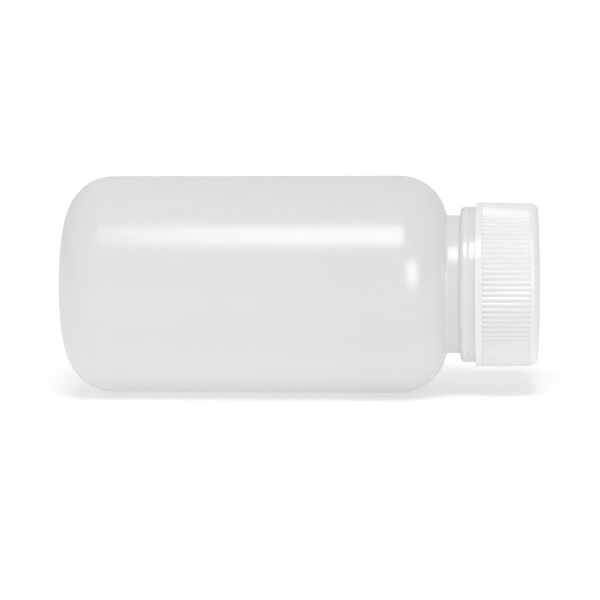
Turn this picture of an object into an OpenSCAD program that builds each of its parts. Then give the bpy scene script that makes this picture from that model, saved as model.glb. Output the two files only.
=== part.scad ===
// Wide-mouth round laboratory bottle, lying on its side, with a ribbed screw cap and a sealing liner.
// +X runs along the bottle from its base to the cap, and +Z is up. The origin is on the surface that
// the bottle lies on, under the middle of its length.

/* [Body] */
// Outer diameter of the cylindrical body
body_d = 75; // [68:0.5:90]
// Height from the base to the crown of the shoulder
body_h = 131.5; // [90:0.5:200]
// Radius of the round heel between base and body
heel_r = 15.75; // [8:0.25:18]
// Radius of the round shoulder
shoulder_r = 16.4; // [10:0.2:18]
// Wall of the body, the shoulder and the neck
wall = 1.3; // [0.8:0.1:1.8]
// Height of the domed hollow under the base
pushup_h = 3; // [1.5:0.25:6]
// Width of the flat ring that the bottle stands on
foot_w = 2.5; // [1:0.25:5]

/* [Neck] */
// Outer diameter of the plain neck under the collar
neck_d = 47.4; // [40:0.2:54]
// Height of the plain neck, from the shoulder's crown to the collar
neck_h = 4.6; // [2.4:0.2:10]
// Radius of the hollow blend where the shoulder turns into the neck
neck_blend_r = 1.2; // [0.6:0.1:2]
// How far the collar stands out from the neck
collar_out = 3.05; // [2:0.05:4]
// Height of the collar
collar_h = 6.45; // [5:0.05:9]
// Rounding of the collar's lower edge
collar_edge_r = 1.6; // [0.6:0.1:2]
// Rounding of the collar's upper edge
collar_top_r = 0.5; // [0.2:0.1:0.8]
// Height of the mould joint's groove above the collar's lower face
seam_h = 2.85; // [2.2:0.05:3.4]
// Radius of the mould joint's groove
seam_r = 0.28; // [0.15:0.01:0.4]

/* [Threaded finish] */
// How far the finish stands out from the neck, at the foot of its thread
finish_out = 0.95; // [0.5:0.05:1.5]
// Height of the finish, from the collar to the mouth
finish_h = 17.6; // [16:0.1:24]
// Rounding of the mouth's outer and inner edges
lip_r = 0.5; // [0.2:0.1:0.6]
// Height of the thread above the finish
thread_depth = 1.25; // [0.9:0.05:1.5]
// Rise of the thread in one turn
thread_pitch = 4.23; // [3.8:0.01:4.8]
// Turns of thread on the bottle and in the cap
thread_turns = 2; // [1:0.25:2.5]
// Width of the thread at its foot
thread_foot_w = 2; // [1.6:0.1:2.2]
// Width of the thread at its crest
thread_crest_w = 0.8; // [0.5:0.1:1]
// Drop from the mouth to the middle of the thread's upper end
thread_drop = 2.6; // [2.4:0.1:3.4]

/* [Cap] */
// Wall of the cap between its inside and the valleys of its ribs
cap_wall = 1.3; // [1:0.1:2]
// Wall of the plain band around the collar
rim_wall = 1.12; // [0.8:0.02:1.6]
// Length of the collar that the skirt covers
skirt_overlap = 1.2; // [0.6:0.1:2]
// Height of the plain band at the rim
band_h = 2.35; // [1.8:0.05:4]
// Number of ribs around the skirt
rib_count = 96; // [60:2:120]
// Height of a rib above its valley
rib_depth = 0.45; // [0.25:0.05:0.7]
// Step down from the crests of the ribs to the plain crown
crown_step = 0.2; // [0.1:0.05:0.3]
// Height of the crown's straight side, between the ribs and its rounded edge
crown_side_h = 0.1; // [0.05:0.05:3]
// Rounding of the crown's edge
crown_edge_r = 2.65; // [1:0.05:3.2]
// Thickness of the cap's top at its edge
cap_top_t = 1.4; // [1:0.1:2.5]
// Rise of the slightly domed top
dome_h = 0.65; // [0.3:0.05:1.5]
// Radius of the moulding gate's dimple in the top
gate_r = 1.6; // [1:0.1:2.5]
// Depth of the moulding gate's dimple
gate_depth = 0.3; // [0.1:0.05:0.5]
// Radius of the bead that holds the liner in the cap
bead_r = 0.55; // [0.45:0.05:0.7]
// Bevel inside the rim of the skirt
rim_bevel = 0.35; // [0.2:0.05:0.6]

/* [Liner] */
// Thickness of the sealing liner
liner_t = 1; // [0.6:0.1:2]

/* [Clearances] */
// Gap between each thread's crest and the wall that it faces
thread_gap = 0.4; // [0.3:0.05:0.5]
// Gap along the axis between the flanks that draw the cap down
flank_gap = 0.35; // [0.25:0.05:0.45]
// Gap between the skirt and the collar inside it
collar_gap = 0.3; // [0.2:0.05:0.6]
// Gap between the collar's top and the step inside the skirt
step_gap = 0.6; // [0.4:0.1:1]
// Gap around the liner's edge
liner_edge_gap = 0.3; // [0.2:0.05:0.4]
// Gap on each face of the liner
liner_face_gap = 0.05; // [0.03:0.01:0.1]

/* [Hidden] */
$fn = 180;

// Depth to which a thread is sunk in the wall that carries it
thread_sink = 0.5;
// Depth at which the thread's crest starts and ends, under the wall's surface
thread_runout = 0.2;
// Turn over which the crest rises out of the wall, in degrees
runout_angle = 40;
// Turn between two sections of a thread, in degrees
thread_step = 7.5;
// Overlap between parts of one piece that are joined
join = 0.5;
// Points along one rib, and along the domed top
rib_points = 6;
dome_points = 12;
// Reach of a cut past the surface that it opens
cut = 1;

// Radii of the bottle
body_r = body_d / 2;
foot_outer_r = body_r - heel_r;
foot_inner_r = foot_outer_r - foot_w;
shoulder_centre_r = body_r - shoulder_r;
neck_r = neck_d / 2;
bore_r = neck_r - wall;
collar_r = neck_r + collar_out;
finish_r = neck_r + finish_out;
pushup_r = (foot_inner_r ^ 2 + pushup_h ^ 2) / (2 * pushup_h);

// Heights of the bottle, from the plane that it stands on
shoulder_centre_z = body_h - shoulder_r;
collar_z = body_h + neck_h;
collar_top_z = collar_z + collar_h;
mouth_z = collar_top_z + finish_h;
thread_top_z = mouth_z - thread_drop;
thread_bottom_z = thread_top_z - thread_turns * thread_pitch;

// The blend between shoulder and neck is an arc that touches both
blend_centre_r = neck_r + neck_blend_r;
blend_reach = shoulder_r + neck_blend_r;
blend_lean = max(0, blend_centre_r - shoulder_centre_r);
blend_rise = sqrt(blend_reach ^ 2 - blend_lean ^ 2);
blend_centre_z = shoulder_centre_z + blend_rise;

// Radii of the cap
cap_inner_r = finish_r + thread_depth + thread_gap;
valley_r = cap_inner_r + cap_wall;
rib_r = valley_r + rib_depth;
crown_r = rib_r - crown_step;
skirt_bore_r = max(cap_inner_r, collar_r + collar_gap);
band_r = max(rib_r, skirt_bore_r + rim_wall);

// Heights of the cap and the liner, with the cap screwed down
rim_z = collar_top_z - skirt_overlap;
rib_bottom_z = rim_z + band_h;
liner_z = mouth_z + liner_face_gap;
ceiling_z = liner_z + liner_t + liner_face_gap;
crown_top_z = ceiling_z + cap_top_t;
rib_top_z = crown_top_z - crown_edge_r - crown_side_h;
cap_top_z = crown_top_z + dome_h;
bead_z = mouth_z - 2 * liner_face_gap - bead_r;
liner_r = cap_inner_r - liner_edge_gap;

// The cap's thread runs under the bottle's thread, a flank gap below it
flank_slope = (thread_foot_w - thread_crest_w) / (2 * thread_depth);
thread_spacing = thread_foot_w - flank_slope * (thread_depth + thread_gap) + flank_gap;

// Height of the lying bottle's axis above the surface
axis_z = max(body_r, band_r);

// Place the bottle, drawn standing on its base, on its side
module lay_down() {
    translate([-cap_top_z / 2, 0, axis_z]) rotate([0, 90, 0]) children();
}

// Height of the thread's crest over the wall, which rises and falls at the thread's two ends
function crest_height(turned, total) =
    let (ramp = min(turned, total - turned) / runout_angle)
    -thread_runout + (thread_depth + thread_runout) * min(1, ramp);

// Four corners of the thread's section at one angle; side is 1 outside a wall and -1 inside it
function thread_section(wall_r, side, z, angle, height) =
    [for (corner = [
        [wall_r - side * thread_sink, z - thread_foot_w / 2],
        [wall_r + side * height, z - thread_crest_w / 2],
        [wall_r + side * height, z + thread_crest_w / 2],
        [wall_r - side * thread_sink, z + thread_foot_w / 2]])
    [corner[0] * cos(angle), corner[0] * sin(angle), corner[1]]];

// A right-hand thread on the outside (side 1) or the inside (side -1) of a round wall
module thread(wall_r, side, bottom_z) {
    total = 360 * thread_turns;
    steps = round(total / thread_step);
    points = [for (i = [0:steps]) let (angle = total * i / steps)
        each thread_section(wall_r, side, bottom_z + thread_pitch * angle / 360, angle,
                            crest_height(angle, total))];
    sides = [for (i = [0:steps - 1], k = [0:3]) let (a = 4 * i + k, b = 4 * i + (k + 1) % 4)
        side > 0 ? [a, b, b + 4, a + 4] : [a, a + 4, b + 4, b]];
    first = side > 0 ? [3, 2, 1, 0] : [0, 1, 2, 3];
    last = [for (k = first) 4 * steps + 3 - k];
    polyhedron(points = points, faces = concat([first], sides, [last]));
}

// Half outline of the body, from its axis out, at a depth under the outer surface
module body_outline(depth) {
    intersection() {
        square([body_r, body_h]);
        union() {
            translate([0, heel_r]) square([body_r - depth, shoulder_centre_z - heel_r]);
            translate([0, depth]) square([foot_outer_r, heel_r - depth + join]);
            translate([foot_outer_r, heel_r]) circle(heel_r - depth);
            translate([0, shoulder_centre_z - join]) square([shoulder_centre_r, shoulder_r - depth + join]);
            translate([shoulder_centre_r, shoulder_centre_z]) circle(shoulder_r - depth);
        }
    }
}

// Filling between shoulder and neck, at a depth under the outer surface
module neck_blend(depth) {
    share = (neck_blend_r + depth + join) / blend_reach;
    deep_r = blend_centre_r - blend_lean * share;
    deep_z = blend_centre_z - blend_rise * share;
    difference() {
        polygon([
            [neck_r - depth - join, blend_centre_z],
            [blend_centre_r, blend_centre_z],
            [deep_r, deep_z],
            [neck_r - depth - join, deep_z]]);
        translate([blend_centre_r, blend_centre_z]) circle(neck_blend_r + depth);
    }
}

// Dome of the hollow under the base, grown by a depth
module pushup_outline(depth) {
    intersection() {
        square([body_r, heel_r]);
        translate([0, pushup_h - pushup_r]) circle(pushup_r + depth);
    }
}

// Half outline of a collar with a different rounding at its lower and upper outer edges
module collar_outline() {
    translate([0, collar_z]) square([collar_r - collar_edge_r, collar_h]);
    translate([collar_r - collar_edge_r, collar_z + collar_edge_r]) circle(collar_edge_r);
    translate([0, collar_z + collar_edge_r])
        square([collar_r, collar_h - collar_edge_r - collar_top_r]);
    translate([0, collar_top_z - collar_top_r - join]) square([collar_r - collar_top_r, collar_top_r + join]);
    translate([collar_r - collar_top_r, collar_top_z - collar_top_r]) circle(collar_top_r);
}

// Half outline of the finish's wall, with a rounded lip at the mouth
module finish_outline() {
    translate([0, collar_top_z - join]) square([finish_r, finish_h + join - lip_r]);
    translate([0, mouth_z - lip_r - join]) square([finish_r - lip_r, lip_r + join]);
    translate([finish_r - lip_r, mouth_z - lip_r]) circle(lip_r);
}

// Half outline of the bottle without its hollow
module bottle_outline() {
    difference() {
        body_outline(0);
        pushup_outline(0);
    }
    neck_blend(0);
    translate([0, shoulder_centre_z]) square([neck_r, collar_z - shoulder_centre_z + join]);
    difference() {
        collar_outline();
        translate([collar_r + seam_r / 3, collar_z + seam_h]) circle(seam_r);
    }
    finish_outline();
}

// Half outline of the bottle's hollow, open at the mouth
module hollow_outline() {
    difference() {
        body_outline(wall);
        pushup_outline(wall);
    }
    neck_blend(wall);
    translate([0, shoulder_centre_z]) square([bore_r, mouth_z - shoulder_centre_z + cut]);
    difference() {
        translate([0, mouth_z - lip_r]) square([bore_r + lip_r, lip_r + cut]);
        translate([bore_r + lip_r, mouth_z - lip_r]) circle(lip_r);
    }
}

// Bottle: one moulded shell from the base to the threaded mouth
module bottle() {
    color([0.93, 0.94, 0.94, 0.6]) lay_down() {
        rotate_extrude() difference() {
            bottle_outline();
            hollow_outline();
        }
        thread(finish_r, 1, thread_bottom_z);
    }
}

// Half outline of the cap's outside, without its ribs
module cap_outline() {
    translate([0, rim_z]) square([band_r, band_h]);
    translate([0, rib_bottom_z - join]) square([valley_r, rib_top_z - rib_bottom_z + 2 * join]);
    translate([0, rib_top_z]) square([crown_r, crown_side_h]);
    translate([0, rib_top_z]) square([crown_r - crown_edge_r, crown_side_h + crown_edge_r]);
    intersection() {
        translate([crown_r - crown_edge_r, crown_top_z - crown_edge_r]) circle(crown_edge_r);
        translate([0, rib_top_z]) square([crown_r, crown_side_h + crown_edge_r]);
    }
    polygon(concat(
        [[0, crown_top_z - join]],
        [for (i = [dome_points:-1:0]) let (share = i / dome_points)
            [(crown_r - crown_edge_r) * share, crown_top_z + dome_h * (1 - share ^ 2)]]));
}

// Outline of the ribbed skirt, seen along the axis, with a crest at each quarter turn
module rib_outline() {
    total = rib_count * rib_points;
    polygon([for (i = [0:total - 1])
        let (angle = 360 * i / total, r = valley_r + rib_depth * (1 + cos(rib_count * angle)) / 2)
        [r * cos(angle), r * sin(angle)]]);
}

// Screw cap: ribbed skirt, plain band and crown, with the inner thread and the liner's bead
module screw_cap() {
    color([0.97, 0.97, 0.97]) lay_down() {
        difference() {
            union() {
                rotate_extrude() cap_outline();
                translate([0, 0, rib_bottom_z]) linear_extrude(rib_top_z - rib_bottom_z) rib_outline();
            }
            translate([0, 0, rim_z - cut]) cylinder(r = cap_inner_r, h = ceiling_z - rim_z + cut);
            translate([0, 0, rim_z - cut]) cylinder(r = skirt_bore_r, h = skirt_overlap + step_gap + cut);
            translate([0, 0, rim_z])
                cylinder(r1 = skirt_bore_r + rim_bevel, r2 = skirt_bore_r, h = rim_bevel);
            translate([0, 0, cap_top_z - gate_depth]) cylinder(r = gate_r, h = gate_depth + cut);
        }
        rotate_extrude() translate([cap_inner_r, bead_z]) circle(bead_r);
        thread(cap_inner_r, -1, thread_bottom_z - thread_spacing);
    }
}

// Liner: soft sealing disc between the cap's top and the bottle's mouth
module cap_liner() {
    color([0.9, 0.9, 0.87]) lay_down() translate([0, 0, liner_z]) cylinder(r = liner_r, h = liner_t);
}

bottle();
screw_cap();
cap_liner();
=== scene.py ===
import math
import bmesh
import bpy
from mathutils import Matrix, Vector


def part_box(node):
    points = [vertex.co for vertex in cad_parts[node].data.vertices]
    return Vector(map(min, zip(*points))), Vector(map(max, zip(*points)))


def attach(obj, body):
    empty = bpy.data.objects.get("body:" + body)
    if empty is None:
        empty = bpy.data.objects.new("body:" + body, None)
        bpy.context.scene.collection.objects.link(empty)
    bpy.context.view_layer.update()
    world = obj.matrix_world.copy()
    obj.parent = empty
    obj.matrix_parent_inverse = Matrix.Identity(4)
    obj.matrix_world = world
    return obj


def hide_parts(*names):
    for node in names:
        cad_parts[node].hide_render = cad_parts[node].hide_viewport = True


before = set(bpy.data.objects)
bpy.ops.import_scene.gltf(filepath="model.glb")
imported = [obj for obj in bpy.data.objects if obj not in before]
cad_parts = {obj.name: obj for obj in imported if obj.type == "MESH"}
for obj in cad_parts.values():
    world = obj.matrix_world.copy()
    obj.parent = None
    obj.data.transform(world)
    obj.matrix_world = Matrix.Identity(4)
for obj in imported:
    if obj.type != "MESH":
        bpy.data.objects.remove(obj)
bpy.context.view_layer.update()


# ---------------------------------------------------------------------------------------------
# Bottle: one shell of natural, milky polypropylene. The thread, collar and neck are injection
# moulded solid, then the body is blown out against a mould in two halves. Their fine parting line
# runs along the top and the bottom, and the gate's nub stands in the hollow of the base.
# ---------------------------------------------------------------------------------------------
bottle_low, bottle_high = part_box("bottle")
base_x = bottle_low.x
mouth_x = bottle_high.x
axis_z = (bottle_low.z + bottle_high.z) / 2
parting_height = 0.00005
parting_width = 0.0004
body_radius = (bottle_high.z - bottle_low.z) / 2 - parting_height
wall = 0.0013

heel_radius = 0.01575
foot_width = 0.0025
foot_rounding = 0.0009
foot_bevel_height = 0.00012
foot_bevel_inside = 0.0004
foot_bevel_outside = 0.0002
hollow_height = 0.003
nub_radius = 0.0014
nub_height = 0.0005

shoulder_height = 0.1315
shoulder_radius = 0.0164
neck_radius = 0.0237
neck_height = 0.0046
neck_blend = 0.0012

collar_radius = 0.02675
collar_height = 0.00645
collar_edge = 0.0016
collar_top_edge = 0.0005
collar_foot_blend = 0.0005
seam_height = 0.00285
seam_depth = 0.00018
seam_width = 0.0003

finish_radius = 0.02465
lip_rounding = 0.0005
thread_depth = 0.00125
thread_pitch = 0.00423
thread_turns = 2
thread_foot = 0.002
thread_crest = 0.0008
thread_drop = 0.0026
thread_runout = 40
thread_start = mouth_x - thread_drop - thread_turns * thread_pitch
same_size = 1e-7


def arc(centre_x, centre_r, radius, start, end, steps):
    """Points along an arc in the half plane of (x, r), with angles in degrees from +x towards +r."""
    points = []
    for i in range(steps + 1):
        turn = math.radians(start + (end - start) * i / steps)
        points.append((centre_x + radius * math.cos(turn), centre_r + radius * math.sin(turn)))
    return points


def straight(start, end, steps):
    """Points after start on the straight line to end."""
    return [tuple(a + (b - a) * i / steps for a, b in zip(start, end)) for i in range(1, steps + 1)]


def smooth(share):
    """0 to 1 with a soft start and end."""
    share = min(1.0, max(0.0, share))
    return share * share * (3 - 2 * share)


def even_columns(count):
    """Angles in degrees that share out a full turn."""
    return [360 * i / count for i in range(count)]


def turned_shell(name, profile, columns, swell=None):
    """A closed mesh turned about the bottle's axis from a profile that starts and ends on the axis.
    Angle 0 points down and 90 towards +Y. swell(x, r, degrees) gives a rise over the plain radius."""
    mesh = bmesh.new()
    rings = []
    for x, r in profile:
        if r < same_size:
            rings.append([mesh.verts.new((x, 0, axis_z))])
            continue
        ring = []
        for degrees in columns:
            radius = r + (swell(x, r, degrees) if swell else 0.0)
            turn = math.radians(degrees)
            ring.append(mesh.verts.new((x, radius * math.sin(turn), axis_z - radius * math.cos(turn))))
        rings.append(ring)
    count = len(columns)
    for near, far in zip(rings, rings[1:]):
        for i in range(count):
            k = (i + 1) % count
            if len(near) == 1:
                mesh.faces.new((near[0], far[k], far[i]))
            elif len(far) == 1:
                mesh.faces.new((near[i], near[k], far[0]))
            else:
                mesh.faces.new((near[i], near[k], far[k], far[i]))
    bmesh.ops.recalc_face_normals(mesh, faces=mesh.faces)
    for face in mesh.faces:
        face.smooth = True
    data = bpy.data.meshes.new(name)
    mesh.to_mesh(data)
    mesh.free()
    shell = bpy.data.objects.new(name, data)
    bpy.context.scene.collection.objects.link(shell)
    return shell


def thread_height(x, degrees, start):
    """Height of a two-turn right-hand thread over its wall, with soft flanks and tapered ends."""
    best = 0.0
    for turn in range(thread_turns + 1):
        turned = degrees / 360 + turn
        away = abs(x - start - thread_pitch * turned)
        flank = smooth((thread_foot / 2 - away) / (thread_foot / 2 - thread_crest / 2))
        ramp = smooth(min(turned, thread_turns - turned) * 360 / thread_runout)
        best = max(best, thread_depth * flank * ramp)
    return best


def parting_line(degrees):
    """Height of the fine ridge along the top and the bottom, where the two mould halves met."""
    away = min(degrees % 180, 180 - degrees % 180)
    return parting_height * smooth(1 - math.radians(away) * body_radius / (parting_width / 2))


def seam_groove(x):
    """Depth of the groove around the collar, where the neck ring met the mould halves."""
    return seam_depth * smooth(1 - abs(x - collar_x - seam_height) / seam_width)


foot_outer = body_radius - heel_radius
foot_inner = foot_outer - foot_width
shoulder_x = base_x + shoulder_height
collar_x = shoulder_x + neck_height
collar_top_x = collar_x + collar_height
shoulder_centre_x = shoulder_x - shoulder_radius
shoulder_centre_r = body_radius - shoulder_radius
blend_centre_r = neck_radius + neck_blend
blend_reach = shoulder_radius + neck_blend
blend_turn = math.degrees(math.asin((blend_centre_r - shoulder_centre_r) / blend_reach))
blend_centre_x = shoulder_centre_x + blend_reach * math.cos(math.radians(blend_turn))


def hollow_dome(depth, steps):
    """The domed hollow under the base from near its middle to the foot, sunk by a depth."""
    sphere = (foot_inner ** 2 + hollow_height ** 2) / (2 * hollow_height)
    centre = base_x + hollow_height - sphere
    start = nub_radius * 1.6
    reach = foot_inner - foot_rounding
    points = []
    for i in range(1, steps + 1):
        r = start + (reach - start) * i / steps
        points.append((centre + math.sqrt((sphere + depth) ** 2 - r ** 2), r))
    return points


def body_profile(depth, arc_steps, barrel_steps):
    """Heel, barrel, shoulder and the blend into the neck, at a depth under the outer surface."""
    heel = arc(base_x + heel_radius, foot_outer, heel_radius - depth, 180, 90, arc_steps)
    barrel_end = (shoulder_centre_x, body_radius - depth)
    barrel = straight(heel[-1], barrel_end, barrel_steps)
    shoulder = arc(shoulder_centre_x, shoulder_centre_r, shoulder_radius - depth,
                   90, blend_turn, arc_steps)[1:]
    blend = arc(blend_centre_x, blend_centre_r, neck_blend + depth,
                180 + blend_turn, 270, 8)[1:]
    return heel + barrel + shoulder + blend


def bottle_outside():
    """Profile of the outer surface from the middle of the base to the lip."""
    nub_foot = base_x + hollow_height
    nub = [(nub_foot - nub_height, 0),
           (nub_foot - nub_height, nub_radius * 0.5),
           (nub_foot - nub_height * 0.8, nub_radius * 0.85),
           (nub_foot - nub_height * 0.2, nub_radius * 1.1)]
    dome = hollow_dome(0, 16)
    foot = [(base_x + foot_bevel_height, foot_inner - foot_bevel_inside),
            (base_x, foot_inner + foot_bevel_outside)]
    flat = straight(foot[-1], (base_x, foot_outer), 3)
    body = body_profile(0, 40, 24)[1:]
    neck_end = (collar_x - collar_foot_blend, neck_radius)
    neck = straight(body[-1], neck_end, 6)
    collar_foot = arc(collar_x - collar_foot_blend, neck_radius + collar_foot_blend,
                      collar_foot_blend, 270, 360, 6)[1:]
    lower_face = (collar_x, collar_radius - collar_edge)
    collar_face = straight(collar_foot[-1], lower_face, 3)
    collar_corner = arc(collar_x + collar_edge, collar_radius - collar_edge, collar_edge,
                        180, 90, 10)[1:]
    collar_end = (collar_top_x - collar_top_edge, collar_radius)
    collar_side = straight(collar_corner[-1], collar_end, 44)
    collar_shoulder = arc(collar_top_x - collar_top_edge, collar_radius - collar_top_edge,
                          collar_top_edge, 90, 0, 6)[1:]
    step = straight(collar_shoulder[-1], (collar_top_x, finish_radius), 3)
    rise_start = (thread_start - thread_foot, finish_radius)
    plain = straight(step[-1], rise_start, 6)
    rise_end = (mouth_x - lip_rounding, finish_radius)
    threaded = straight(rise_start, rise_end, 86)
    lip = arc(mouth_x - lip_rounding, finish_radius - lip_rounding, lip_rounding, 90, 0, 6)[1:]
    return (nub + dome + foot + flat + body + neck + collar_foot + collar_face + collar_corner
            + collar_side + collar_shoulder + step + plain + threaded + lip)


def bottle_inside():
    """Profile of the inner surface from the lip to the middle of the base."""
    bore = neck_radius - wall
    lip = arc(mouth_x - lip_rounding, bore + lip_rounding, lip_rounding, 0, -90, 6)
    body = list(reversed(body_profile(wall, 28, 12)))
    down = straight(lip[-1], body[0], 16)
    dome = list(reversed(hollow_dome(wall, 12)))
    middle = [(base_x + hollow_height + wall, 0)]
    return lip + down + body[1:] + dome + middle


def is_outside(x, r):
    """True where a profile point lies outside the middle of the wall, so on the outer surface."""
    half_wall = wall / 2
    if x < base_x + heel_radius:
        from_heel = math.hypot(x - base_x - heel_radius, r - foot_outer)
        return from_heel > heel_radius - half_wall and r > foot_outer
    if x < shoulder_centre_x:
        return r > body_radius - half_wall
    if x < shoulder_x - wall:
        from_shoulder = math.hypot(x - shoulder_centre_x, r - shoulder_centre_r)
        return from_shoulder > shoulder_radius - half_wall
    return r > neck_radius - half_wall


def bottle_swell(x, r, degrees):
    """Thread, collar groove and parting line, as a rise over the turned profile."""
    rise = 0.0
    if abs(r - finish_radius) < same_size and x > collar_top_x:
        rise += thread_height(x, degrees, thread_start)
    if abs(r - collar_radius) < same_size:
        rise -= seam_groove(x)
    if x < mouth_x - lip_rounding and is_outside(x, r):
        rise += parting_line(degrees)
    return rise


parting_turn = math.degrees(parting_width / body_radius)
parting_shares = (0.12, 0.25, 0.38, 0.5, 0.7)
bottle_columns = sorted(
    even_columns(200)
    + [(middle + side * share * parting_turn) % 360
       for middle in (0, 180) for side in (-1, 1) for share in parting_shares])
bottle = turned_shell("bottle_shell", bottle_outside() + bottle_inside(), bottle_columns, bottle_swell)


def shader_group(name, inputs, outputs):
    """An empty shader node group with float inputs {name: default} and named float outputs."""
    group = bpy.data.node_groups.new(name, "ShaderNodeTree")
    for label, value in inputs.items():
        socket = group.interface.new_socket(name=label, in_out="INPUT", socket_type="NodeSocketFloat")
        socket.default_value = value
    for label in outputs:
        group.interface.new_socket(name=label, in_out="OUTPUT", socket_type="NodeSocketFloat")
    return group, group.nodes.new("NodeGroupInput"), group.nodes.new("NodeGroupOutput")


def math_node(tree, operation, *values):
    """A Math node whose inputs are numbers or other nodes' outputs. Gives its output."""
    node = tree.nodes.new("ShaderNodeMath")
    node.operation = operation
    for socket, value in zip(node.inputs, values):
        if isinstance(value, (int, float)):
            socket.default_value = value
        else:
            tree.links.new(value, socket)
    return node.outputs[0]


def noise(tree, vector, scale, detail, roughness=0.5):
    """Value of a Noise Texture, whose scale is a number or another node's output."""
    node = tree.nodes.new("ShaderNodeTexNoise")
    tree.links.new(vector, node.inputs["Vector"])
    if isinstance(scale, (int, float)):
        node.inputs["Scale"].default_value = scale
    else:
        tree.links.new(scale, node.inputs["Scale"])
    node.inputs["Detail"].default_value = detail
    node.inputs["Roughness"].default_value = roughness
    return node.outputs["Fac"]


def build_moulded_grain():
    """Fine grain and slow waves that a mould leaves in plastic, as a height, and a cloudy mask."""
    group, given, result = shader_group(
        "moulded_grain",
        {"Grain Scale": 2600.0, "Grain": 0.25, "Wave Scale": 45.0, "Wave": 1.0},
        ["Height", "Clouds"])
    place = group.nodes.new("ShaderNodeTexCoord").outputs["Object"]
    grain = noise(group, place, given.outputs["Grain Scale"], detail=2.0)
    waves = noise(group, place, given.outputs["Wave Scale"], detail=1.0)
    clouds = noise(group, place, scale=70.0, detail=4.0, roughness=0.6)
    height = math_node(group, "ADD",
                       math_node(group, "MULTIPLY", grain, given.outputs["Grain"]),
                       math_node(group, "MULTIPLY", waves, given.outputs["Wave"]))
    group.links.new(height, result.inputs["Height"])
    group.links.new(clouds, result.inputs["Clouds"])
    return group


def build_handling_wear():
    """Hair-fine rub marks that run around the part, as a mask from 0 to 1."""
    group, given, result = shader_group(
        "handling_wear", {"Amount": 0.5, "Fineness": 900.0}, ["Mask"])
    place = group.nodes.new("ShaderNodeTexCoord").outputs["Object"]
    stretch = group.nodes.new("ShaderNodeMapping")
    stretch.inputs["Scale"].default_value = (1.0, 0.08, 0.08)
    group.links.new(place, stretch.inputs["Vector"])
    lines = noise(group, stretch.outputs["Vector"], given.outputs["Fineness"], detail=3.0, roughness=0.65)
    patches = noise(group, place, scale=55.0, detail=2.0)
    line_top, line_rounding, patch_contrast = 0.62, 0.1, 2.0
    rubbed = math_node(group, "MULTIPLY",
                       math_node(group, "SMOOTH_MIN", lines, line_top, line_rounding),
                       math_node(group, "POWER", patches, patch_contrast))
    mask = math_node(group, "MULTIPLY", rubbed, given.outputs["Amount"])
    group.links.new(mask, result.inputs["Mask"])
    return group


moulded_grain = build_moulded_grain()
handling_wear = build_handling_wear()


def place_group(tree, group, values):
    """The group as a node of a material, with its inputs set from {name: value}."""
    node = tree.nodes.new("ShaderNodeGroup")
    node.node_tree = group
    for label, value in values.items():
        node.inputs[label].default_value = value
    return node


def colour_between(tree, mask, low, high):
    """A colour that goes from low to high with the mask."""
    ramp = tree.nodes.new("ShaderNodeValToRGB")
    ramp.color_ramp.elements[0].position = 0.3
    ramp.color_ramp.elements[0].color = (*low, 1)
    ramp.color_ramp.elements[1].position = 0.7
    ramp.color_ramp.elements[1].color = (*high, 1)
    tree.links.new(mask, ramp.inputs["Fac"])
    return ramp.outputs["Color"]


def map_range(tree, value, start, end, low, high):
    """A value that goes from low to high as the one given goes from start to end."""
    node = tree.nodes.new("ShaderNodeMapRange")
    tree.links.new(value, node.inputs["Value"])
    node.inputs["From Min"].default_value = start
    node.inputs["From Max"].default_value = end
    node.inputs["To Min"].default_value = low
    node.inputs["To Max"].default_value = high
    return node.outputs["Result"]


def value_along(tree, low_x, high_x, low, high):
    """A value that goes from low to high along the bottle, between two places on its axis."""
    place = tree.nodes.new("ShaderNodeTexCoord")
    axes = tree.nodes.new("ShaderNodeSeparateXYZ")
    tree.links.new(place.outputs["Object"], axes.inputs["Vector"])
    return map_range(tree, axes.outputs["X"], low_x, high_x, low, high)


def plastic(name, pale, pale_low, rough_low, rough_high, grain, wear, bump_strength, bump_distance):
    """A moulded plastic or foam: clouds in its colour, rubbed patches in its roughness and grain as
    bump. Gives the material and its shader, whose plain sockets are set where it is used."""
    material = bpy.data.materials.new(name)
    material.use_nodes = True
    tree = material.node_tree
    shader = tree.nodes["Principled BSDF"]
    surface = place_group(tree, moulded_grain, grain)
    rubbed = place_group(tree, handling_wear, wear)
    clouds = surface.outputs["Clouds"]
    tree.links.new(colour_between(tree, clouds, pale_low, pale), shader.inputs["Base Color"])
    dull = math_node(tree, "ADD",
                     map_range(tree, clouds, 0.0, 1.0, rough_low, rough_high),
                     rubbed.outputs["Mask"])
    tree.links.new(dull, shader.inputs["Roughness"])
    bump = tree.nodes.new("ShaderNodeBump")
    bump.inputs["Strength"].default_value = bump_strength
    bump.inputs["Distance"].default_value = bump_distance
    tree.links.new(surface.outputs["Height"], bump.inputs["Height"])
    tree.links.new(bump.outputs["Normal"], shader.inputs["Normal"])
    return material, shader


milky_plastic, milky = plastic(
    "milky_polypropylene", pale=(0.84, 0.84, 0.84), pale_low=(0.825, 0.825, 0.825),
    rough_low=0.2, rough_high=0.25,
    grain={"Grain Scale": 2600.0, "Grain": 0.12, "Wave Scale": 38.0, "Wave": 1.0},
    wear={"Amount": 0.03, "Fineness": 800.0}, bump_strength=0.25, bump_distance=0.0004)
milky.inputs["IOR"].default_value = 1.52
milky.inputs["Specular IOR Level"].default_value = 1.0

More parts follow.
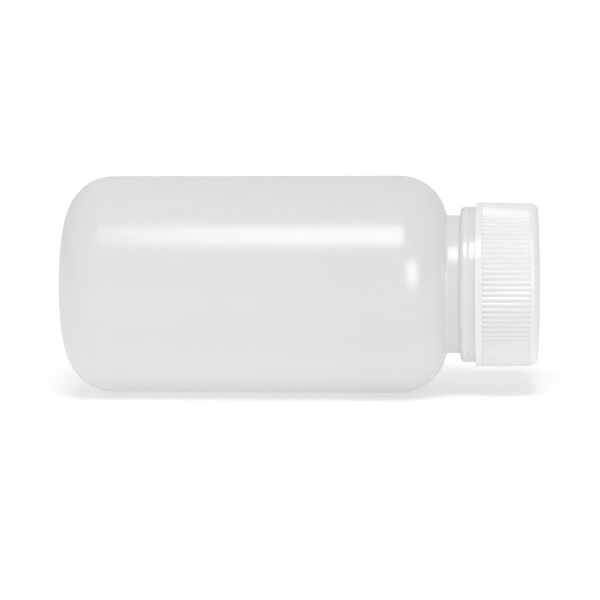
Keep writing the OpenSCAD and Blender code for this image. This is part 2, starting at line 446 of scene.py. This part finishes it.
# The solid neck and collar let less light through than the thin blown wall. Their colour is whiter,
# partly because thick solid plastic is, and partly as a painted glow in place of light scattered through
# the neck.
tree = milky_plastic.node_tree
neck_fade = 0.004
neck_fade_x = shoulder_x - neck_fade
body_through = 0.5
neck_through = 0.34
neck_white_and_glow_mix = tree.nodes.new("ShaderNodeMix")
neck_white_and_glow_mix.data_type = "RGBA"
plain_colour, neck_white_and_painted_glow = [socket for socket in neck_white_and_glow_mix.inputs if socket.type == "RGBA"]
tree.links.new(value_along(tree, neck_fade_x, collar_x, 0.0, 1.0), neck_white_and_glow_mix.inputs["Factor"])
tree.links.new(milky.inputs["Base Color"].links[0].from_socket, plain_colour)
# Painted glow: this lighter colour also brightens the neck's lower half and its corner with the collar.
neck_white_and_painted_glow.default_value = (0.9, 0.9, 0.9, 1)
whiter_with_painted_glow = next(socket for socket in neck_white_and_glow_mix.outputs if socket.type == "RGBA")
tree.links.new(whiter_with_painted_glow, milky.inputs["Base Color"])
through = tree.nodes.new("ShaderNodeBsdfTranslucent")
through.inputs["Color"].default_value = (0.89, 0.89, 0.89, 1)
wall_light = tree.nodes.new("ShaderNodeMixShader")
let_through = value_along(tree, neck_fade_x, collar_x, body_through, neck_through)
tree.links.new(let_through, wall_light.inputs["Fac"])
tree.links.new(milky.outputs["BSDF"], wall_light.inputs[1])
tree.links.new(through.outputs["BSDF"], wall_light.inputs[2])

# Light scatters once in each wall, where it enters. Where it leaves the wall, it goes straight on.
leaving = tree.nodes.new("ShaderNodeBsdfTransparent")
one_sheet = tree.nodes.new("ShaderNodeMixShader")
facing = tree.nodes.new("ShaderNodeNewGeometry")
tree.links.new(facing.outputs["Backfacing"], one_sheet.inputs["Fac"])
tree.links.new(wall_light.outputs["Shader"], one_sheet.inputs[1])
tree.links.new(leaving.outputs["BSDF"], one_sheet.inputs[2])
tree.links.new(one_sheet.outputs["Shader"], tree.nodes["Material Output"].inputs["Surface"])
bottle.data.materials.append(milky_plastic)
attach(bottle, "bottle_body")
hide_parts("bottle")


# ---------------------------------------------------------------------------------------------
# Screw cap: opaque white polypropylene, injection moulded in one piece. Fine ribs for grip run
# between a plain band around the collar and a plain crown, whose top is very slightly domed
# around the gate's dimple. Inside are the thread and the bead that the liner snaps behind.
# ---------------------------------------------------------------------------------------------
cap_low, cap_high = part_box("screw_cap")
rim_x = cap_low.x
cap_top_x = cap_high.x
liner_low, liner_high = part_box("cap_liner")

cap_inner = 0.0263
cap_wall = 0.00113
valley_radius = cap_inner + cap_wall
band_radius = (cap_high.y - cap_low.y) / 2
band_height = 0.00235
rib_count = 96
rib_columns = 6
rib_foot_radius = 0.02814
rib_head_radius = 0.02794
rib_sharpness = 1.2
rib_ending = 0.00005
crown_radius = 0.02785
crown_edge = 0.00265
crown_side = 0.0001
crown_step = 0.00002
dome_height = 0.00065
crown_top_x = cap_top_x - dome_height
rib_start_x = rim_x + band_height
rib_end_x = crown_top_x - crown_edge - crown_side
band_bevel = 0.0001
skirt_bore = 0.02705
skirt_step_x = rim_x + 0.0018
rim_bevel = 0.00035
rim_rounding = 0.0003
ledge_bevel = 0.0001
corner_rounding = 0.0002
gate_radius = 0.0016
gate_depth = 0.0003
bead_radius = 0.00055
face_gap = 0.00005
ceiling_x = liner_high.x + face_gap
bead_x = mouth_x - 2 * face_gap - bead_radius
thread_gap = 0.0004
flank_gap = 0.00035
flank_slope = (thread_foot - thread_crest) / (2 * thread_depth)
thread_spacing = thread_foot - flank_slope * (thread_depth + thread_gap) + flank_gap
cap_thread_start = thread_start - thread_spacing


def cap_outside():
    """Profile of the outer surface from the middle of the top to the rim."""
    dimple_edge = gate_radius * 1.15
    dimple = [(cap_top_x - gate_depth, 0),
              (cap_top_x - gate_depth, gate_radius * 0.6),
              (cap_top_x - gate_depth * 0.8, gate_radius * 0.9),
              (cap_top_x - gate_depth * 0.2, gate_radius),
              (cap_top_x, dimple_edge)]
    flat = crown_radius - crown_edge
    dome = []
    for i in range(1, 15):
        r = dimple_edge + (flat - dimple_edge) * i / 14
        dome.append((crown_top_x + dome_height * (1 - (r / flat) ** 2), r))
    edge = arc(crown_top_x - crown_edge, flat, crown_edge, 0, 90, 14)[1:]
    crown_foot = (rib_end_x + crown_step, crown_radius)
    near_crown = (rib_end_x - rib_ending, valley_radius)
    near_band = (rib_start_x + rib_ending, valley_radius)
    ribs = ([(rib_end_x, valley_radius), near_crown] + straight(near_crown, near_band, 15)
            + [(rib_start_x, valley_radius)])
    band_top = [(rib_start_x - band_bevel * 0.4, band_radius - band_bevel * 0.5),
                (rib_start_x - band_bevel, band_radius)]
    band = straight(band_top[-1], (rim_x + rim_rounding, band_radius), 4)
    rim = arc(rim_x + rim_rounding, band_radius - rim_rounding, rim_rounding, 90, 180, 5)[1:]
    return dimple + dome + edge + [crown_foot] + ribs + band_top + band + rim


def cap_inside():
    """Profile of the inner surface from the rim to the middle of the ceiling."""
    bevel = [(rim_x, skirt_bore + rim_bevel), (rim_x + rim_bevel, skirt_bore)]
    step = straight(bevel[-1], (skirt_step_x, skirt_bore), 3)
    ledge = [(skirt_step_x + ledge_bevel / 2, skirt_bore - ledge_bevel),
             (skirt_step_x + ledge_bevel, cap_inner)]
    thread_end = cap_thread_start + thread_turns * thread_pitch + thread_foot
    threaded = straight(ledge[-1], (thread_end, cap_inner), 72)
    bead_low = (bead_x - bead_radius, cap_inner)
    plain = straight(threaded[-1], bead_low, 4)
    bead = arc(bead_x, cap_inner, bead_radius, 180, 360, 12)[1:]
    seat = straight(bead[-1], (ceiling_x - corner_rounding, cap_inner), 3)
    corner = [(ceiling_x - corner_rounding * 0.3, cap_inner - corner_rounding * 0.3),
              (ceiling_x, cap_inner - corner_rounding)]
    ceiling = straight(corner[-1], (ceiling_x, 0), 5)
    return bevel + step + ledge + threaded + plain + bead + seat + corner + ceiling


def rib_shape(degrees):
    """0 in a rib's valley and 1 on its rounded crest."""
    across = (degrees * rib_count / 360) % 1
    return (0.5 + 0.5 * math.cos(2 * math.pi * across)) ** rib_sharpness


def cap_swell(x, r, degrees):
    """Ribs outside and the thread inside, as a rise over the turned profile."""
    if abs(r - valley_radius) < same_size and rib_start_x - same_size <= x <= rib_end_x + same_size:
        along = (x - rib_start_x) / (rib_end_x - rib_start_x)
        crest = rib_foot_radius + (rib_head_radius - rib_foot_radius) * along
        return (crest - valley_radius) * rib_shape(degrees)
    if abs(r - cap_inner) < same_size and x < bead_x - bead_radius:
        return -thread_height(x, degrees, cap_thread_start)
    return 0.0


cap_columns = even_columns(rib_count * rib_columns)
cap = turned_shell("ribbed_cap", cap_outside() + cap_inside(), cap_columns, cap_swell)
white_plastic, white = plastic(
    "white_polypropylene", pale=(0.838, 0.838, 0.838), pale_low=(0.823, 0.823, 0.823),
    rough_low=0.2, rough_high=0.24,
    grain={"Grain Scale": 3200.0, "Grain": 0.2, "Wave Scale": 60.0, "Wave": 0.4},
    wear={"Amount": 0.05, "Fineness": 1100.0}, bump_strength=0.2, bump_distance=0.0002)
white.inputs["IOR"].default_value = 1.49
white.inputs["Specular IOR Level"].default_value = 0.6
white.inputs["Subsurface Weight"].default_value = 0.15
white.inputs["Subsurface Radius"].default_value = (1.0, 1.0, 1.0)
white.inputs["Subsurface Scale"].default_value = 0.0006

# The top is duller than the sides, as its part of the mould is left unpolished.
tree = white_plastic.node_tree
matte_edge = 0.0012
matte_top = 0.25
matte = value_along(tree, crown_top_x - matte_edge, crown_top_x, 0.0, matte_top)
even = white.inputs["Roughness"].links[0].from_socket
tree.links.new(math_node(tree, "ADD", even, matte), white.inputs["Roughness"])
cap.data.materials.append(white_plastic)
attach(cap, "cap_body")
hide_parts("screw_cap")


# ---------------------------------------------------------------------------------------------
# Liner: a disc of foamed polyethylene between two thin skins, punched from sheet and snapped
# into the cap. The bottle's lip has pressed a shallow ring into the face that seals it.
# ---------------------------------------------------------------------------------------------
liner_radius = (liner_high.y - liner_low.y) / 2
liner_edge = 0.00015
liner_rings = 90
imprint_depth = 0.00006
imprint_inner = neck_radius - wall
imprint_outer = finish_radius
imprint_blend = 0.0003


def imprint(r):
    """Depth of the ring that the lip has pressed into the liner's lower face."""
    inside = smooth((r - imprint_inner + imprint_blend) / imprint_blend)
    outside = smooth((imprint_outer + imprint_blend - r) / imprint_blend)
    return imprint_depth * min(inside, outside)


def liner_profile():
    """Profile from the middle of the sealing face, round the edge, to the middle of the back."""
    reach = liner_radius - liner_edge
    radii = [reach * i / liner_rings for i in range(liner_rings + 1)]
    lower = [(liner_low.x + imprint(r), r) for r in radii]
    edge = arc(liner_low.x + liner_edge, reach, liner_edge, 180, 90, 4)[1:]
    side = straight(edge[-1], (liner_high.x - liner_edge, liner_radius), 4)
    top_edge = arc(liner_high.x - liner_edge, reach, liner_edge, 90, 0, 4)[1:]
    upper = straight(top_edge[-1], (liner_high.x, 0), 10)
    return lower + edge + side + top_edge + upper


liner = turned_shell("sealing_liner", liner_profile(), even_columns(180))
foam, foam_shader = plastic(
    "liner_foam", pale=(0.83, 0.83, 0.80), pale_low=(0.79, 0.79, 0.76),
    rough_low=0.5, rough_high=0.65,
    grain={"Grain Scale": 1500.0, "Grain": 1.0, "Wave Scale": 120.0, "Wave": 0.3},
    wear={"Amount": 0.1, "Fineness": 700.0}, bump_strength=0.35, bump_distance=0.0002)
foam_shader.inputs["IOR"].default_value = 1.45
liner.data.materials.append(foam)
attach(liner, "liner_body")
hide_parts("cap_liner")


# ---------------------------------------------------------------------------------------------
# Studio: a white table that glows a little, in an even white room that is dimmer at its two ends.
# Two soft lamps draw the long highlight and the one on the shoulder, and the camera looks from
# slightly above, on the cap's side of square-on.
# ---------------------------------------------------------------------------------------------
table_size = 6.0
bpy.ops.mesh.primitive_plane_add(size=table_size, location=(0, 0, 0))
floor = bpy.context.object
floor.name = "white_table"

table_white = bpy.data.materials.new("white_table_top")
table_white.use_nodes = True
tree = table_white.node_tree
table_shader = tree.nodes["Principled BSDF"]
table_shader.inputs["Base Color"].default_value = (0.97, 0.97, 0.97, 1)
table_shader.inputs["Roughness"].default_value = 0.9
table_shader.inputs["Specular IOR Level"].default_value = 0.1

# The glow is even for the light on the object. Seen directly or in gloss it is white far away,
# and a little lower near the object, where the shadow falls.
table_glow = 0.2
seen_near, seen_far = -0.01, 0.22
near_reach, far_reach = 0.15, 0.9
place = tree.nodes.new("ShaderNodeTexCoord")
apart = tree.nodes.new("ShaderNodeVectorMath")
apart.operation = "LENGTH"
tree.links.new(place.outputs["Object"], apart.inputs[0])
lift = map_range(tree, apart.outputs["Value"], near_reach, far_reach, seen_near, seen_far)
rays = tree.nodes.new("ShaderNodeLightPath")
mirrored = math_node(tree, "MAXIMUM", rays.outputs["Is Glossy Ray"], rays.outputs["Is Transmission Ray"])
looked_at = math_node(tree, "MAXIMUM", rays.outputs["Is Camera Ray"], mirrored)
glow = tree.nodes.new("ShaderNodeEmission")
strength = math_node(tree, "ADD", math_node(tree, "MULTIPLY", lift, looked_at), table_glow)
tree.links.new(strength, glow.inputs["Strength"])
both = tree.nodes.new("ShaderNodeAddShader")
tree.links.new(table_shader.outputs["BSDF"], both.inputs[0])
tree.links.new(glow.outputs["Emission"], both.inputs[1])
tree.links.new(both.outputs["Shader"], tree.nodes["Material Output"].inputs["Surface"])
floor.data.materials.append(table_white)

room_level = 0.77
room_ends = 0.46
ends_start, ends_full = 0.2, 0.9
world = bpy.data.worlds.new("studio")
bpy.context.scene.world = world
world.use_nodes = True
tree = world.node_tree
room = tree.nodes["Background"]
room.inputs["Color"].default_value = (1, 1, 1, 1)
towards = tree.nodes.new("ShaderNodeTexCoord")
axes = tree.nodes.new("ShaderNodeSeparateXYZ")
tree.links.new(towards.outputs["Generated"], axes.inputs["Vector"])
endways = math_node(tree, "ABSOLUTE", axes.outputs["X"])
light_level = map_range(tree, endways, ends_start, ends_full, room_level, room_ends)
rays = tree.nodes.new("ShaderNodeLightPath")
backdrop = math_node(tree, "MAXIMUM", rays.outputs["Is Camera Ray"], rays.outputs["Is Transmission Ray"])
tree.links.new(math_node(tree, "MAXIMUM", light_level, backdrop), room.inputs["Strength"])

lamp_width = 0.42
lamp_height = 0.34
lamp_power = 2.7
bottle_middle = Vector((0, 0, axis_z))


def soft_lamp(name, spot):
    """A broad lamp that faces the middle of the bottle."""
    data = bpy.data.lights.new(name, "AREA")
    data.shape = "RECTANGLE"
    data.size = lamp_width
    data.size_y = lamp_height
    data.energy = lamp_power
    lamp = bpy.data.objects.new(name, data)
    bpy.context.scene.collection.objects.link(lamp)
    lamp.location = spot
    lamp.rotation_mode = "QUATERNION"
    lamp.rotation_quaternion = (spot - bottle_middle).to_track_quat("Z", "Y")
    return lamp


strip_rise = math.radians(58)
strip_distance = 0.9
strip_side = 0.04
strip_way = Vector((strip_side, -math.cos(strip_rise), math.sin(strip_rise)))
soft_lamp("strip", bottle_middle + strip_distance * strip_way)

# The side lamp shows only in gloss. It draws the small highlights on the shoulder, neck and ribs.
side_spot = Vector((0.59, -0.707, 0.279))
side_lamp = soft_lamp("side", side_spot)
side_lamp.visible_diffuse = False

rise = math.radians(7.0)
slant = 0.0794
roll = 0.0015
distance = 0.9828
aim_along = 0.08056
aim_drop = 0.0055
back = Vector((slant, -math.sqrt(math.cos(rise) ** 2 - slant ** 2), math.sin(rise)))
level_right = (Vector((1, 0, 0)) - back * slant).normalized()
level_up = back.cross(level_right)
right = level_right * math.cos(roll) + level_up * math.sin(roll)
up = level_up * math.cos(roll) - level_right * math.sin(roll)
aim = Vector((base_x + aim_along, 0, axis_z)) - up * aim_drop
camera_data = bpy.data.cameras.new("camera")
camera_data.sensor_width = 36
camera_data.lens = 170.5
camera = bpy.data.objects.new("camera", camera_data)
bpy.context.scene.collection.objects.link(camera)
turn = Matrix((right, up, back)).transposed().to_4x4()
camera.matrix_world = Matrix.Translation(aim + back * distance) @ turn
bpy.context.scene.camera = camera
bpy.context.scene.view_settings.view_transform = "Standard"
